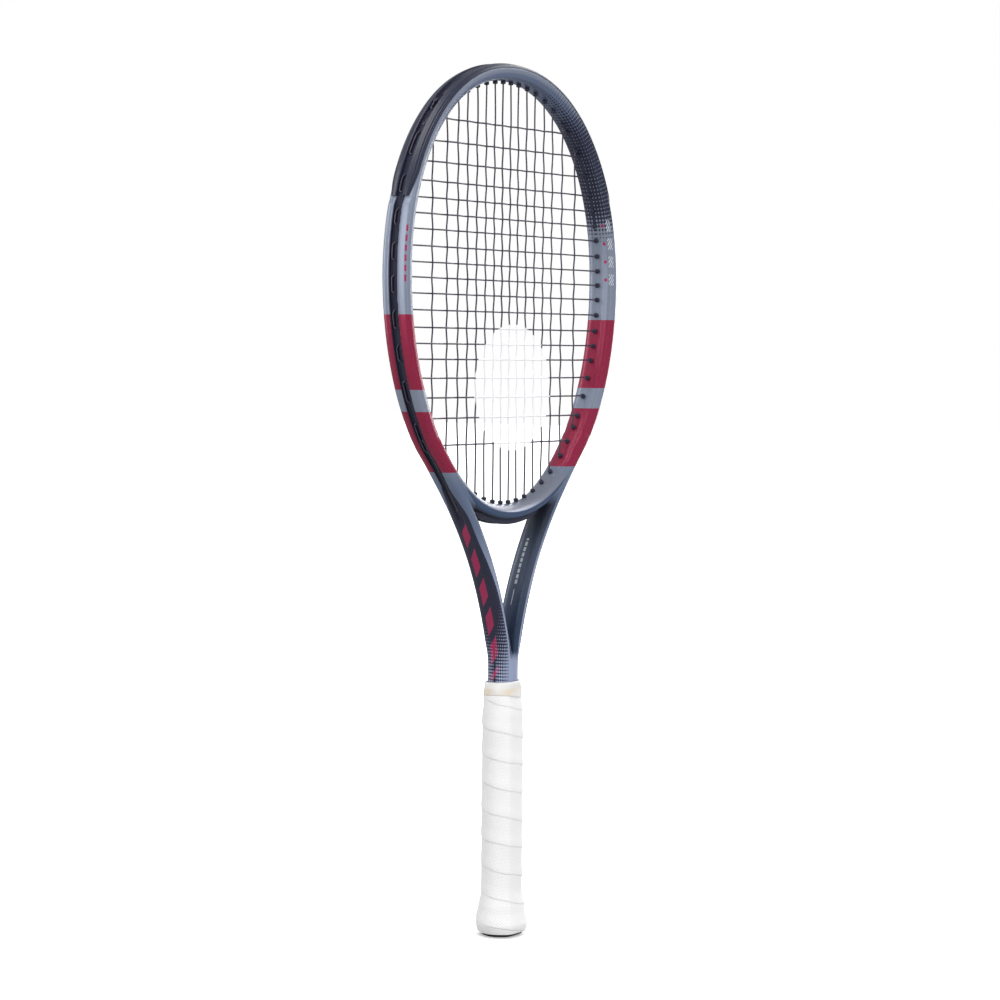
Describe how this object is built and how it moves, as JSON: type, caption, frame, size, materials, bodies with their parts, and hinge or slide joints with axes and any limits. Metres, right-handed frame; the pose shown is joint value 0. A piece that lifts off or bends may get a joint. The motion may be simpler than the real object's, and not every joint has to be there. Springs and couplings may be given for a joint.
{
  "type": "tennis racket",
  "caption": "Strung adult tennis racket with a hollow moulded frame, open throat, bumper guard, grommet strips, woven string bed and a wrapped octagonal handle.",
  "frame": {"origin": "middle of the butt cap's end face, at the racket's lowest point", "axes": "+Z from the butt to the tip of the head; the string bed lies in the XZ plane and its front faces -Y"},
  "size_m": [0.279, 0.0374, 0.6858],
  "materials": {
    "painted_carbon": "metallic paint over a carbon-fibre composite",
    "black_nylon": "moulded nylon",
    "string": "polyester monofilament",
    "pallet_foam": "rigid polyurethane foam",
    "weight": "plain",
    "staple_steel": "plain wire",
    "white_wrap": "perforated synthetic grip tape",
    "white_tape": "adhesive tape"
  },
  "bodies": {
    "root": {"frame": "painted_carbon", "bumper_guard": "black_nylon", "grommet_strip_left": "black_nylon", "grommet_strip_right": "black_nylon", "grommet_strip_throat": "black_nylon", "main_string": "string", "cross_string": "string", "pallet_front": "pallet_foam", "pallet_back": "pallet_foam", "butt_cap": "black_nylon", "butt_plug": "black_nylon", "balance_weight": "weight", "staple_left": "staple_steel", "staple_right": "staple_steel", "grip_wrap": "white_wrap", "finishing_tape": "white_tape"}
  },
  "joints": []
}
